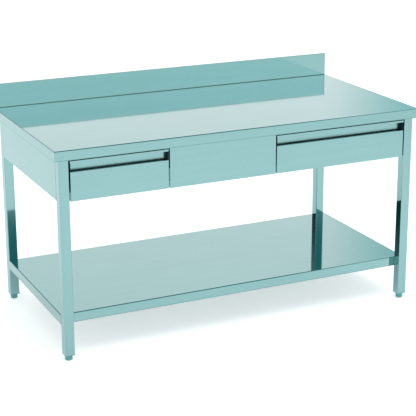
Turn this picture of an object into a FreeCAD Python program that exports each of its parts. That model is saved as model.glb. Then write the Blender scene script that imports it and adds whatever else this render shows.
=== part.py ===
"""Stainless work table: folded worktop with backsplash, two drawers, undershelf, levelling feet.

The origin is on the floor at the centre of the table. X runs along the table, the drawers open
towards -Y and Z is up. Sizes are in millimetres and live in the sheet called Sizes. Places are
worked out from them as formulas of the same words.
"""
import FreeCAD, Part
import os
import re
import Sketcher

SIZES = [
    ("table_length", 1600, "worktop, left to right"),
    ("table_depth", 800, "worktop, front to back"),
    ("table_height", 850, "floor to worktop"),
    ("edge_height", 40, "folded edge of the worktop"),
    ("edge_round", 2, "outer bend radius of the worktop"),
    ("top_skin", 1.5, "sheet of the worktop"),
    ("top_return", 70, "flange folded in under the worktop"),
    ("board_thick", 18, "core board under the skin"),
    ("board_gap", 1, "glue gap round the core board"),
    ("splash_height", 100, "backsplash above the worktop"),
    ("splash_thick", 15, "backsplash, front to back"),
    ("splash_cove", 4, "inner bend at the foot of the backsplash"),
    ("channel_web", 50, "stiffening channel, flat bottom"),
    ("channel_lip", 15, "stiffening channel, each upper flange"),
    ("channel_front", 290, "worktop front to first channel"),
    ("channel_rear", 495, "worktop front to second channel"),
    ("leg_side", 40, "square tube of the legs"),
    ("leg_wall", 1.5, "tube wall"),
    ("leg_round", 3, "outer corner of the tube"),
    ("leg_inset_side", 18, "worktop end to leg"),
    ("leg_inset_front", 12, "worktop front to leg"),
    ("leg_inset_rear", 23, "worktop rear to leg"),
    ("insert_lip", 3, "visible lip of the leg insert"),
    ("insert_depth", 35, "insert inside the tube"),
    ("insert_play", 0.1, "insert to tube wall"),
    ("foot_dia", 30, "glide of the levelling foot"),
    ("foot_height", 21, "glide of the levelling foot"),
    ("foot_gap", 1, "glide to insert, screwed home"),
    ("foot_bevel", 3, "bevel round the bottom of the glide"),
    ("stud_dia", 9.6, "threaded stud"),
    ("stud_length", 62, "stud above its ball"),
    ("stud_play", 0.4, "stud to its bores"),
    ("ball_dia", 13, "foot of the stud, held in the glide"),
    ("ball_height", 5, "foot of the stud"),
    ("ball_floor", 6, "glide under the stud"),
    ("foot_chamfer", 1, "chamfers of studs and upper edge of the glide"),
    ("apron_drop", 164, "aprons below the worktop edge"),
    ("apron_wall", 1.2, "sheet of aprons and front panel"),
    ("apron_step", 15, "edge of the apron flanges to the leg's inner face"),
    ("left_width", 400, "left drawer front"),
    ("right_width", 600, "right drawer front"),
    ("front_gap", 5.5, "gap beside each drawer front"),
    ("front_top", 7, "gap above each drawer front"),
    ("front_height", 114, "flat face of a drawer front"),
    ("front_wall", 1.2, "sheet of a drawer front"),
    ("front_hem", 7, "folded upper edge of the flat face"),
    ("grip_lip", 8, "lip above the grip"),
    ("grip_depth", 24, "recess of the grip"),
    ("grip_slot", 25, "recess behind the flat face"),
    ("box_depth", 480, "drawer box, front to back"),
    ("box_height", 118, "drawer box"),
    ("box_lift", 14, "front's lower edge to box"),
    ("box_wall", 1, "sheet of the drawer box"),
    ("box_rim", 7, "rim folded in at the top of the box"),
    ("hanger_wall", 1.5, "sheet of the drawer hangers"),
    ("hanger_flange", 13, "upper and lower flange of a hanger"),
    ("hanger_tail", 30, "flange behind the drawer"),
    ("hanger_lift", 22, "apron's lower edge to hanger"),
    ("hanger_start", 2, "front leg to hanger"),
    ("side_play", 0.5, "drawer front to the plane of its hanger"),
    ("runner_length", 450, "runner members"),
    ("runner_width", 12.7, "runner, hanger to box"),
    ("runner_height", 45, "fixed member"),
    ("runner_wall", 1.2, "sheet of the runner members"),
    ("runner_step", 4, "each member inside the last, top and bottom"),
    ("fixed_share", 0.66, "depth of the fixed member, of runner_width"),
    ("inner_share", 0.5, "depth of middle and drawer member, of runner_width"),
    ("middle_share", 0.24, "hanger to middle member, of runner_width"),
    ("runner_lift", 54, "front's lower edge to runner centre"),
    ("buffer_dia", 12, "rubber buffer behind the drawer"),
    ("buffer_thick", 4, "rubber buffer behind the drawer"),
    ("buffer_play", 0.5, "closed drawer to buffer"),
    ("shelf_height", 183, "floor to shelf"),
    ("shelf_edge", 40, "folded edge of the shelf"),
    ("shelf_skin", 1.2, "sheet of the shelf"),
    ("shelf_return", 20, "flange folded in under the shelf"),
    ("shelf_round", 2, "outer bend radius of the shelf"),
    ("rib_depth", 20, "stiffening channel under the shelf"),
    ("rib_place", 260, "shelf centre to each channel"),
    ("bracket_side", 32, "corner bracket under the shelf, each arm"),
    ("bracket_margin", 4, "bracket narrower than the leg, each side"),
    ("bracket_wall", 3, "corner bracket under the shelf"),
    ("bolt_dia", 6, "bolts of frame and shelf"),
    ("bolt_head", 10, "bolt head across corners"),
    ("bolt_cap", 4, "bolt head height"),
    ("bolt_length", 14, "bolt under its head"),
    ("screw_dia", 4, "screws and rivets"),
    ("screw_head", 7.5, "head of screws and rivets"),
    ("screw_cap", 1.1, "head height of screws and rivets"),
    ("screw_length", 8, "worktop screw under its head"),
    ("runner_screw", 4, "runner screw under its head"),
    ("rivet_tail", 1, "rivet beyond the sheets that it holds"),
    ("hole_play", 0.3, "hole wider than its screw"),
    ("bolt_inset", 12, "outer face of an apron to its bolts"),
    ("bolt_level", 40, "apron edges to the bolts"),
]

# Places, each written with words of the sheet or with words above it in this list.
PLACES = [
    ("half_length", "table_length / 2"),
    ("half_depth", "table_depth / 2"),
    ("under_z", "table_height - edge_height"),
    ("apron_z", "under_z - apron_drop"),
    ("core_z", "table_height - top_skin - board_thick"),
    ("leg_x", "half_length - leg_inset_side"),
    ("leg_front_y", "-half_depth + leg_inset_front"),
    ("leg_rear_y", "half_depth - leg_inset_rear"),
    ("bay_front_y", "leg_front_y + leg_side"),
    ("bay_rear_y", "leg_rear_y - leg_side"),
    ("bay_depth", "bay_rear_y - bay_front_y"),
    ("bay_x", "leg_x - leg_side"),
    ("apron_flange", "leg_side - apron_step"),
    ("tube_z", "foot_height + foot_gap + insert_lip"),
    ("left_x", "-bay_x + front_gap"),
    ("right_x", "bay_x - front_gap - right_width"),
    ("panel_x", "left_x + left_width + front_gap"),
    ("panel_width", "right_x - front_gap - panel_x"),
    ("front_top_z", "under_z - front_top"),
    ("face_top_z", "apron_z + front_height"),
    ("slot_z", "face_top_z - grip_slot"),
    ("box_y", "leg_front_y + grip_depth + front_wall"),
    ("box_z", "apron_z + box_lift"),
    ("box_rear_y", "box_y + box_depth"),
    ("hanger_y", "bay_front_y + hanger_start"),
    ("tail_y", "box_rear_y + buffer_play + buffer_thick"),
    ("hanger_z", "apron_z + hanger_lift"),
    ("runner_z", "apron_z + runner_lift"),
    ("box_inset", "runner_width - side_play"),
    ("shelf_z", "shelf_height - shelf_edge"),
    ("bracket_width", "leg_side - 2 * bracket_margin"),
    ("channel_drop", "core_z - under_z"),
    ("screw_hole", "screw_dia / 2 + hole_play / 2"),
    ("bolt_hole", "bolt_dia / 2 + hole_play / 2"),
]
FORMULAS = dict(PLACES)
ALIASES = {alias for alias, number, note in SIZES}
AXIS_TURNS = {
    "+x": FreeCAD.Rotation(FreeCAD.Vector(0, 1, 0), 90),
    "-x": FreeCAD.Rotation(FreeCAD.Vector(0, 1, 0), -90),
    "+y": FreeCAD.Rotation(FreeCAD.Vector(1, 0, 0), -90),
    "-y": FreeCAD.Rotation(FreeCAD.Vector(1, 0, 0), 90),
    "+z": FreeCAD.Rotation(),
}
SIDES = (("left", -1), ("right", 1))
# Places of screws along a runner and of rivets along a drawer front, as shares of its length.
RUNNER_SHARES = (0.1, 0.45, 0.8)
RIVET_SHARES = (0.15, 0.38, 0.62, 0.85)
# Outer bend radius of a drawer front, as a share of its sheet.
BEND_SHARE = 0.8
# How far outside a leg or an apron the seat of a bolt that passes through it may lie.
LEG_REACH_X = 2
LEG_REACH_Y = 6
APRON_REACH = 3

doc = FreeCAD.newDocument("WorkTable")
sheet = doc.addObject("Spreadsheet::Sheet", "Sizes")
nodes = []


def fill_sheet():
    """Write every driving size into the sheet under its alias."""
    for row, (alias, number, note) in enumerate(SIZES, start=1):
        sheet.set("A%d" % row, note)
        sheet.set("B%d" % row, str(number))
        sheet.setAlias("B%d" % row, alias)
    doc.recompute()


def expression(text):
    """Turn a formula of plain words into one that names the sheet's cells."""
    def spell(match):
        word = match.group(0)
        if word in FORMULAS:
            return "(" + expression(FORMULAS[word]) + ")"
        return "Sizes." + word if word in ALIASES else word
    return re.sub(r"[a-z]+(?:_[a-z]+)*", spell, str(text))


def value(text):
    """Return what a formula comes to, as a plain number."""
    result = sheet.evalExpression(expression(text))
    return float(getattr(result, "Value", result))


def bind(item, prop, text):
    item.setExpression(prop, expression(text))


def place(item, corner):
    for axis, text in zip("xyz", corner):
        bind(item, "Placement.Base." + axis, text)


def keep(item, label):
    """Give a finished sub-part its name and list it for export."""
    item.Label = label
    nodes.append(item)
    return item


def box(name, sides, corner):
    item = doc.addObject("Part::Box", name)
    for prop, text in zip(("Length", "Width", "Height"), sides):
        bind(item, prop, text)
    place(item, corner)
    return item


def cylinder(name, radius, height, start, direction="+z"):
    item = doc.addObject("Part::Cylinder", name)
    item.Placement.Rotation = AXIS_TURNS[direction]
    bind(item, "Radius", radius)
    bind(item, "Height", height)
    place(item, start)
    return item


def hexagon(name, radius, height, start, direction):
    item = doc.addObject("Part::Prism", name)
    item.Polygon = 6
    item.Placement.Rotation = AXIS_TURNS[direction]
    bind(item, "Circumradius", radius)
    bind(item, "Height", height)
    place(item, start)
    return item


def fuse(name, items):
    item = doc.addObject("Part::MultiFuse", name)
    item.Shapes = items
    return item


def cut(name, base, tools):
    item = doc.addObject("Part::Cut", name)
    item.Base = base
    item.Tool = tools[0] if len(tools) == 1 else fuse(name + "_tools", tools)
    return item


def group(name, items):
    item = doc.addObject("Part::Compound", name)
    item.Links = items
    return item


def round_edges(name, base, radius, test):
    """Fillet the straight edges of base whose two ends both pass the test."""
    doc.recompute()
    item = doc.addObject("Part::Fillet", name)
    item.Base = base
    chosen = []
    for number, edge in enumerate(base.Shape.Edges, start=1):
        if all(test(vertex.Point) for vertex in edge.Vertexes):
            chosen.append((number, radius, radius))
    item.Edges = chosen
    return item


def on_plane(number, text):
    return abs(number - value(text)) < 1e-6


def origin_plane(body, role):
    return next(item for item in body.Origin.OriginFeatures if item.Role == role)


def add_outline(sketch, points):
    """Draw a closed outline and tie each corner to its two formulas."""
    first = sketch.GeometryCount
    total = len(points)
    corners = [FreeCAD.Vector(value(across), value(up), 0) for across, up in points]
    for index in range(total):
        line = Part.LineSegment(corners[index], corners[(index + 1) % total])
        sketch.addGeometry(line, False)
    for index in range(total):
        following = first + (index + 1) % total
        sketch.addConstraint(Sketcher.Constraint("Coincident", first + index, 2, following, 1))
    for index, point in enumerate(points):
        for kind, axis, text in (("DistanceX", -2, point[0]), ("DistanceY", -1, point[1])):
            if abs(value(text)) < 1e-9:
                sketch.addConstraint(Sketcher.Constraint("PointOnObject", first + index, 1, axis))
                continue
            number = sketch.addConstraint(
                Sketcher.Constraint(kind, -1, 1, first + index, 1, value(text)))
            bind(sketch, "Constraints[%d]" % number, text)


def rectangle(width, height, inset="0"):
    """Corners of a rectangle from the origin, drawn in by inset on every side."""
    near, far, top = inset, "%s - (%s)" % (width, inset), "%s - (%s)" % (height, inset)
    return [(near, near), (far, near), (far, top), (near, top)]


def profile_body(name, role, outlines, length, corner):
    """Make a Body with one sketch of closed outlines, padded along the plane's axis."""
    body = doc.addObject("PartDesign::Body", name)
    sketch = body.newObject("Sketcher::SketchObject", name + "_sketch")
    sketch.AttachmentSupport = [(origin_plane(body, role), "")]
    sketch.MapMode = "FlatFace"
    for points in outlines:
        add_outline(sketch, points)
    pad = body.newObject("PartDesign::Pad", name + "_pad")
    pad.Profile = sketch
    pad.Reversed = role == "XZ_Plane"
    bind(pad, "Length", length)
    place(body, corner)
    return body


def turned_body(name, points, corner):
    """Make a Body by turning a half section in XZ about the vertical axis."""
    body = doc.addObject("PartDesign::Body", name)
    sketch = body.newObject("Sketcher::SketchObject", name + "_sketch")
    sketch.AttachmentSupport = [(origin_plane(body, "XZ_Plane"), "")]
    sketch.MapMode = "FlatFace"
    add_outline(sketch, points)
    turn = body.newObject("PartDesign::Revolution", name + "_turn")
    turn.Profile = sketch
    turn.ReferenceAxis = (sketch, ["V_Axis"])
    turn.Angle = 360
    place(body, corner)
    return body


def fillet_uprights(body, radius, test):
    """Add a PartDesign fillet to the upright edges whose places pass the test."""
    doc.recompute()
    base = body.Tip
    chosen = []
    for number, edge in enumerate(base.Shape.Edges, start=1):
        low, high = edge.Vertexes[0].Point, edge.Vertexes[-1].Point
        upright = abs(low.x - high.x) < 1e-6 and abs(low.y - high.y) < 1e-6
        if upright and test(low):
            chosen.append("Edge%d" % number)
    fillet = body.newObject("PartDesign::Fillet", body.Name + "_fillet")
    fillet.Base = (base, chosen)
    bind(fillet, "Radius", radius)
    body.Tip = fillet


def hex_bolt(name, seat, direction):
    """A bolt whose head sits on seat; it points along direction."""
    backward = direction.translate(str.maketrans("+-", "-+"))
    head = hexagon(name + "_head", "bolt_head / 2", "bolt_cap", seat, backward)
    shank = cylinder(name + "_shank", "bolt_dia / 2", "bolt_length", seat, direction)
    return fuse(name, [head, shank])


def flat_screw(name, seat, direction, length):
    """A low-headed screw or rivet whose head stands on seat, against its direction."""
    axis = direction[1]
    index = "xyz".index(axis)
    start = list(seat)
    start[index] = "%s %s screw_cap" % (seat[index], "-" if direction[0] == "+" else "+")
    head = cylinder(name + "_head", "screw_head / 2", "screw_cap", start, direction)
    shank = cylinder(name + "_shank", "screw_dia / 2", length, seat, direction)
    return fuse(name, [head, shank])


def hole(name, seat, direction, radius, reach):
    """A drill through both sides of seat, by reach each way."""
    index = "xyz".index(direction[1])
    start = list(seat)
    start[index] = "%s %s %s" % (seat[index], "-" if direction[0] == "+" else "+", reach)
    return cylinder(name, radius, "2 * (%s)" % reach, start, direction)


def mirrored(sign, text):
    return text if sign > 0 else "-(%s)" % text


def apron_bolt_seats():
    """Seats of the bolts that hold the aprons to the legs: place, direction."""
    seats = []
    levels = ("apron_z + bolt_level", "under_z - bolt_level")
    for sign in (-1, 1):
        across = mirrored(sign, "leg_x - bolt_inset")
        for level in levels:
            seats.append(((across, "bay_front_y + apron_wall", level), "-y"))
            seats.append(((across, "bay_rear_y - apron_wall", level), "+y"))
            seats.append(((mirrored(sign, "bay_x - apron_wall"), "leg_rear_y - bolt_inset", level),
                          "+x" if sign > 0 else "-x"))
    return seats


def shelf_bolt_seats():
    """Seats of the bolts through the shelf's brackets into the legs."""
    seats = []
    inside = "shelf_skin + bracket_wall"
    level = "shelf_height - shelf_edge / 2"
    for sign in (-1, 1):
        across = mirrored(sign, "leg_x - leg_side / 2")
        seats.append(((across, "bay_front_y + " + inside, level), "-y"))
        seats.append(((across, "bay_rear_y - (%s)" % inside, level), "+y"))
    return seats


def worktop_screw_seats():
    """Seats of the screws from aprons and front panel up into the worktop's flange."""
    level = "under_z - apron_wall"
    seats = []
    for sign in (-1, 1):
        across = mirrored(sign, "leg_x - bolt_inset")
        seats.append((across, "bay_front_y + bay_depth / 4", level))
        seats.append((across, "bay_rear_y - bay_depth / 4", level))
        seats.append(("panel_x + panel_width / 2 + %d * panel_width / 3" % sign,
                      "leg_front_y + bolt_inset", level))
    for share in (-1, 0, 1):
        seats.append(("%d * bay_x / 2" % share, "leg_rear_y - bolt_inset", level))
    return seats


def drawer_sides():
    """Each hanger: its name, its sign towards the drawer and the drawer front's edge."""
    return [
        ("left_drawer_hanger_outer", 1, "left_x"),
        ("left_drawer_hanger_inner", -1, "left_x + left_width"),
        ("right_drawer_hanger_inner", 1, "right_x"),
        ("right_drawer_hanger_outer", -1, "right_x + right_width"),
    ]


def hanger_screw_places(edge, sign):
    """Screws from a hanger's upper flange up into the worktop."""
    middle = "side_play + hanger_wall + (hanger_flange - hanger_wall) / 2"
    across = "%s - %d * (%s)" % (edge, sign, middle)
    rows = (
        "(hanger_y - half_depth + top_return) / 2",
        "-half_depth + channel_front",
        "-half_depth + channel_rear",
    )
    return [(across, row, "under_z - hanger_wall") for row in rows]


def runner_rows():
    """Rows of the screws along a runner."""
    return ["hanger_y + runner_length * %s" % share for share in RUNNER_SHARES]


def build_worktop():
    slab = box("slab", ("table_length", "table_depth", "edge_height"),
               ("-half_length", "-half_depth", "under_z"))
    upstand = box("upstand", ("table_length", "splash_thick", "edge_height + splash_height"),
                  ("-half_length", "half_depth - splash_thick", "under_z"))
    outer = fuse("worktop_outer", [slab, upstand])

    def cove(point):
        return on_plane(point.y, "half_depth - splash_thick") and on_plane(point.z, "table_height")

    def bends(point):
        if on_plane(point.z, "table_height + splash_height"):
            return True
        return on_plane(point.y, "-half_depth") and not on_plane(point.z, "under_z")

    coved = round_edges("worktop_cove", outer, value("splash_cove"), cove)
    rounded = round_edges("worktop_bends", coved, value("edge_round"), bends)
    hollow = box("worktop_hollow",
                 ("table_length - 2 * top_skin", "table_depth - 2 * top_skin",
                  "edge_height - 2 * top_skin"),
                 ("-half_length + top_skin", "-half_depth + top_skin", "under_z + top_skin"))
    mouth = box("worktop_mouth",
                ("table_length - 2 * top_return", "table_depth - 2 * top_return", "2 * top_skin"),
                ("-half_length + top_return", "-half_depth + top_return", "under_z - top_skin / 2"))
    splash = box("splash_hollow",
                 ("table_length + 2 * top_skin", "splash_thick - 2 * top_skin",
                  "splash_height"),
                 ("-half_length - top_skin", "half_depth - splash_thick + top_skin",
                  "table_height - top_skin"))
    tools = [hollow, mouth, splash]
    for number, seat in enumerate(worktop_screw_seats()):
        tools.append(hole("worktop_drill_%d" % number, (seat[0], seat[1], "under_z"), "+z",
                          "screw_hole", "2 * top_skin"))
    for name, sign, edge in drawer_sides():
        seats = hanger_screw_places(edge, sign)
        if name.endswith("inner"):
            seats = seats[:1]
        for number, seat in enumerate(seats):
            tools.append(hole("%s_drill_%d" % (name, number), (seat[0], seat[1], "under_z"),
                              "+z", "screw_hole", "2 * top_skin"))
    keep(cut("worktop_cut", rounded, tools), "worktop")


def build_backsplash_ends():
    for side, sign in SIDES:
        start = "-half_length" if sign < 0 else "half_length - top_skin"
        plate = box("splash_plate_" + side,
                    ("top_skin", "splash_thick - 2 * top_skin", "splash_height"),
                    (start, "half_depth - splash_thick + top_skin", "table_height - top_skin"))
        keep(plate, "backsplash_end_" + side)


def build_core_board():
    board = box("board",
                ("table_length - 2 * top_skin - 2 * board_gap",
                 "table_depth - splash_thick - top_skin - 2 * board_gap", "board_thick"),
                ("-half_length + top_skin + board_gap", "-half_depth + top_skin + board_gap",
                 "core_z"))
    keep(board, "core_board")


def build_channels():
    """Two hat channels along the table, under the core board."""
    width = "channel_web + 2 * channel_lip"
    wall = "top_skin"
    outline = [
        ("channel_lip", "0"), ("channel_lip + channel_web", "0"),
        ("channel_lip + channel_web", "channel_drop - " + wall), (width, "channel_drop - " + wall),
        (width, "channel_drop"), ("channel_lip + channel_web - " + wall, "channel_drop"),
        ("channel_lip + channel_web - " + wall, wall), ("channel_lip + " + wall, wall),
        ("channel_lip + " + wall, "channel_drop"), ("0", "channel_drop"),
        ("0", "channel_drop - " + wall), ("channel_lip", "channel_drop - " + wall),
    ]
    for row, end in enumerate(("front", "rear"), start=1):
        distance = "channel_" + end
        name = distance + "_body"
        body = profile_body(name, "YZ_Plane", [outline],
                            "table_length - 2 * top_return - 2 * board_gap",
                            ("-half_length + top_return + board_gap",
                             "-half_depth + %s - (%s) / 2" % (distance, width), "under_z"))
        drills = []
        for hanger, sign, edge in drawer_sides():
            if hanger.endswith("inner"):
                seat = hanger_screw_places(edge, sign)[row]
                drills.append(hole("%s_drill_%s" % (hanger, distance),
                                   (seat[0], seat[1], "under_z"), "+z",
                                   "screw_hole", "2 * top_skin"))
        keep(cut(name + "_cut", body, drills), "top_" + distance)


def leg_corners():
    """Each leg: name, lower left front corner."""
    rows = (("front", "leg_front_y"), ("rear", "bay_rear_y"))
    columns = (("left", "-leg_x"), ("right", "bay_x"))
    return [("%s_%s" % (row, column), x, y) for row, y in rows for column, x in columns]


def build_legs():
    seats = apron_bolt_seats() + shelf_bolt_seats()
    outline = rectangle("leg_side", "leg_side")
    bore = rectangle("leg_side", "leg_side", "leg_wall")
    for name, x, y in leg_corners():
        body = profile_body("leg_%s_tube" % name, "XY_Plane", [outline, bore],
                            "under_z - tube_z", (x, y, "tube_z"))
        side = value("leg_side")

        def outer_corner(point):
            return {round(point.x, 6), round(point.y, 6)} <= {0.0, side}

        fillet_uprights(body, "leg_round", outer_corner)
        drills = []
        for number, (seat, direction) in enumerate(seats):
            near_x = -LEG_REACH_X < value(seat[0]) - value(x) < side + LEG_REACH_X
            near_y = -LEG_REACH_Y < value(seat[1]) - value(y) < side + LEG_REACH_Y
            if near_x and near_y:
                drills.append(hole("leg_%s_drill_%d" % (name, number), seat, direction,
                                   "bolt_hole", "bolt_length"))
        keep(cut("leg_%s_cut" % name, body, drills), "leg_" + name)


def build_feet():
    centre = "leg_side / 2"
    plug = "leg_side - 2 * leg_wall - 2 * insert_play"
    glide = [
        ("0", "0"), ("foot_dia / 2 - foot_bevel", "0"), ("foot_dia / 2", "foot_bevel"),
        ("foot_dia / 2", "foot_height - foot_chamfer"),
        ("foot_dia / 2 - foot_chamfer", "foot_height"),
        ("stud_dia / 2 + stud_play", "foot_height"),
        ("stud_dia / 2 + stud_play", "ball_floor + ball_height + stud_play"),
        ("ball_dia / 2 + stud_play", "ball_floor + ball_height + stud_play"),
        ("ball_dia / 2 + stud_play", "ball_floor - stud_play"), ("0", "ball_floor - stud_play"),
    ]
    stud = [
        ("0", "0"), ("ball_dia / 2 - foot_chamfer", "0"), ("ball_dia / 2", "foot_chamfer"),
        ("ball_dia / 2", "ball_height - foot_chamfer"),
        ("ball_dia / 2 - foot_chamfer", "ball_height"), ("stud_dia / 2", "ball_height"),
        ("stud_dia / 2", "ball_height + stud_length - foot_chamfer"),
        ("stud_dia / 2 - foot_chamfer", "ball_height + stud_length"),
        ("0", "ball_height + stud_length"),
    ]
    for name, x, y in leg_corners():
        middle = ("%s + %s" % (x, centre), "%s + %s" % (y, centre))
        lip = box("insert_%s_lip" % name, ("leg_side", "leg_side", "insert_lip"),
                  (x, y, "tube_z - insert_lip"))
        body = box("insert_%s_plug" % name, (plug, plug, "insert_depth"),
                   (x + " + leg_wall + insert_play", y + " + leg_wall + insert_play", "tube_z"))
        bore = cylinder("insert_%s_bore" % name, "stud_dia / 2 + stud_play",
                        "insert_depth + 4 * insert_lip", middle + ("tube_z - 2 * insert_lip",))
        whole = fuse("insert_%s_whole" % name, [lip, body])
        keep(cut("insert_%s_cut" % name, whole, [bore]), "leg_insert_" + name)
        keep(turned_body("glide_" + name, glide, middle + ("0",)), "foot_glide_" + name)
        keep(turned_body("stud_" + name, stud, middle + ("ball_floor",)), "foot_stud_" + name)


def tray(name, sides, corner, open_axis):
    """A shallow folded tray: its outer box, and the box that hollows it from open_axis."""
    wall = "apron_wall"
    outer = box(name + "_outer", sides, corner)
    inner_sides = []
    inner_corner = []
    for axis, side, start in zip("xyz", sides, corner):
        if axis == open_axis[1]:
            shift = " + " + wall if open_axis[0] == "+" else " - " + wall
            inner_sides.append(side)
            inner_corner.append("%s%s" % (start, shift))
        else:
            inner_sides.append("%s - 2 * %s" % (side, wall))
            inner_corner.append("%s + %s" % (start, wall))
    return outer, box(name + "_inner", inner_sides, inner_corner)


def build_aprons():
    bolts = apron_bolt_seats()
    screws = worktop_screw_seats()
    trays = [
        ("side_apron_left", ("apron_flange", "bay_depth", "apron_drop"),
         ("-leg_x", "bay_front_y", "apron_z"), "+x"),
        ("side_apron_right", ("apron_flange", "bay_depth", "apron_drop"),
         ("leg_x - apron_flange", "bay_front_y", "apron_z"), "-x"),
        ("rear_apron", ("2 * bay_x", "apron_flange", "apron_drop"),
         ("-bay_x", "leg_rear_y - apron_flange", "apron_z"), "-y"),
        ("front_panel", ("panel_width", "apron_flange", "apron_drop"),
         ("panel_x", "leg_front_y", "apron_z"), "+y"),
    ]
    for name, sides, corner, open_axis in trays:
        outer, inner = tray(name, sides, corner, open_axis)
        low = [value(text) - APRON_REACH for text in corner]
        high = [value(text) + value(side) + APRON_REACH for text, side in zip(corner, sides)]
        tools = [inner]
        for number, (seat, direction) in enumerate(bolts):
            if all(lo < value(text) < hi for lo, text, hi in zip(low, seat, high)):
                tools.append(hole("%s_bolt_%d" % (name, number), seat, direction,
                                  "bolt_hole", "2 * apron_wall"))
        for number, seat in enumerate(screws):
            if all(lo < value(text) < hi for lo, text, hi in zip(low, seat, high)):
                tools.append(hole("%s_screw_%d" % (name, number), seat, "+z",
                                  "screw_hole", "2 * apron_wall"))
        keep(cut(name + "_cut", outer, tools), name)


def hanger_x(edge, sign, width, away="0"):
    """Lower X of a piece of this width, set away from the drawer front's edge."""
    if sign > 0:
        return "%s - side_play - (%s) - %s" % (edge, away, width)
    return "%s + side_play + (%s)" % (edge, away)


def build_hangers():
    """A folded channel beside each drawer, with a tail flange behind the drawer's corner."""
    length = "tail_y + hanger_wall - hanger_y"
    height = "under_z - hanger_z"
    for name, sign, edge in drawer_sides():
        web = box(name + "_web", ("hanger_wall", length, height),
                  (hanger_x(edge, sign, "hanger_wall"), "hanger_y", "hanger_z"))
        top = box(name + "_top", ("hanger_flange", length, "hanger_wall"),
                  (hanger_x(edge, sign, "hanger_flange"), "hanger_y", "under_z - hanger_wall"))
        bottom = box(name + "_bottom", ("hanger_flange", length, "hanger_wall"),
                     (hanger_x(edge, sign, "hanger_flange"), "hanger_y", "hanger_z"))
        tail_x = "%s - side_play - hanger_wall" % edge if sign > 0 else \
            "%s + side_play + hanger_wall - hanger_tail" % edge
        tail = box(name + "_tail", ("hanger_tail", "hanger_wall", height),
                   (tail_x, "tail_y", "hanger_z"))
        drills = []
        for number, seat in enumerate(hanger_screw_places(edge, sign)):
            drills.append(hole("%s_up_%d" % (name, number), seat, "+z",
                               "screw_hole", "2 * hanger_wall"))
        for number, row in enumerate(runner_rows()):
            seat = (hanger_x(edge, sign, "hanger_wall"), row, "runner_z")
            drills.append(hole("%s_side_%d" % (name, number), seat, "+x",
                               "screw_hole", "3 * hanger_wall"))
        whole = fuse(name + "_whole", [web, top, bottom, tail])
        keep(cut(name + "_cut", whole, drills), name)


def channel_outline(depth, height, sign):
    """Section of a runner member: a channel that opens towards sign along X."""
    wall = "runner_wall"
    points = [
        ("0", "0"), (depth, "0"), (depth, wall), (wall, wall),
        (wall, "%s - %s" % (height, wall)), (depth, "%s - %s" % (height, wall)),
        (depth, height), ("0", height),
    ]
    if sign > 0:
        return points
    return [("%s - (%s)" % (depth, across), up) for across, up in points]


def build_runners():
    """Three nested channels beside each drawer: fixed, middle and drawer member."""
    for name, sign, edge in drawer_sides():
        face = "%s - %d * side_play" % (edge, sign)
        members = [
            ("fixed", "runner_width * fixed_share", "0", "runner_height", sign),
            ("middle", "runner_width * inner_share", "runner_width * middle_share",
             "runner_height - 2 * runner_step", sign),
            ("moving", "runner_width * inner_share", "runner_width * (1 - inner_share)",
             "runner_height - 4 * runner_step", -sign),
        ]
        for member, depth, start, height, opening in members:
            if sign > 0:
                x = "%s + %s" % (face, start)
            else:
                x = "%s - (%s) - (%s)" % (face, start, depth)
            label = name.replace("hanger", "runner_" + member)
            body = profile_body(label + "_body", "XZ_Plane",
                                [channel_outline(depth, height, opening)], "runner_length",
                                (x, "hanger_y", "runner_z - (%s) / 2" % height))
            if member == "middle":
                keep(body, label)
                continue
            drills = []
            for number, row in enumerate(runner_rows()):
                drills.append(hole("%s_drill_%d" % (label, number), (x, row, "runner_z"), "+x",
                                   "screw_hole", "2 * runner_width"))
            keep(cut(label + "_cut", body, drills), label)


def drawers():
    """Each drawer: name, left edge of its front, width of its front."""
    return [("left", "left_x", "left_width"), ("right", "right_x", "right_width")]


def build_drawer_fronts():
    """The flat face with its returns, and the folded grip channel behind and above it."""
    wall = "front_wall"
    back = "grip_depth"
    face = [
        ("0", "0"), (back, "0"), (back, wall), (wall, wall),
        (wall, "front_height - " + wall), ("front_hem - " + wall, "front_height - " + wall),
        ("front_hem - " + wall, "front_height - 2 * front_hem"),
        ("front_hem", "front_height - 2 * front_hem"), ("front_hem", "front_height"),
        ("0", "front_height"),
    ]
    rise = "front_top_z - slot_z"
    grip = [
        (wall, "0 - front_hem"), ("2 * " + wall, "0 - front_hem"), ("2 * " + wall, "0 - " + wall),
        ("grip_depth + " + wall, "0 - " + wall), ("grip_depth + " + wall, rise),
        ("0", rise), ("0", rise + " - grip_lip"), (wall, rise + " - grip_lip"),
        (wall, rise + " - " + wall), ("grip_depth", rise + " - " + wall), ("grip_depth", "0"),
        (wall, "0"),
    ]
    for drawer, x, width in drawers():
        name = drawer + "_drawer_front"
        skin = profile_body(name + "_skin", "YZ_Plane", [face], width,
                            (x, "leg_front_y", "apron_z"))
        cheeks = []
        for side, start in (("a", x), ("b", "%s + %s - %s" % (x, width, wall))):
            cheeks.append(box("%s_cheek_%s" % (name, side),
                              (wall, "grip_depth", "slot_z - apron_z - 2 * front_hem"),
                              (start, "leg_front_y", "apron_z")))
        whole = fuse(name + "_whole", [skin] + cheeks)

        def sharp(point):
            on_face = on_plane(point.y, "leg_front_y")
            return on_face and (on_plane(point.z, "face_top_z") or on_plane(point.z, "apron_z"))

        keep(round_edges(name + "_bends", whole, value(wall) * BEND_SHARE, sharp), name)
        channel = profile_body(name + "_grip", "YZ_Plane", [grip], width,
                               (x, "leg_front_y", "slot_z"))
        drills = []
        for number, seat in enumerate(front_rivet_places(x, width)):
            drills.append(hole("%s_rivet_%d" % (name, number), seat, "-y",
                               "screw_hole", "4 * front_wall"))
        keep(cut(name + "_grip_cut", channel, drills), drawer + "_drawer_grip")


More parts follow.
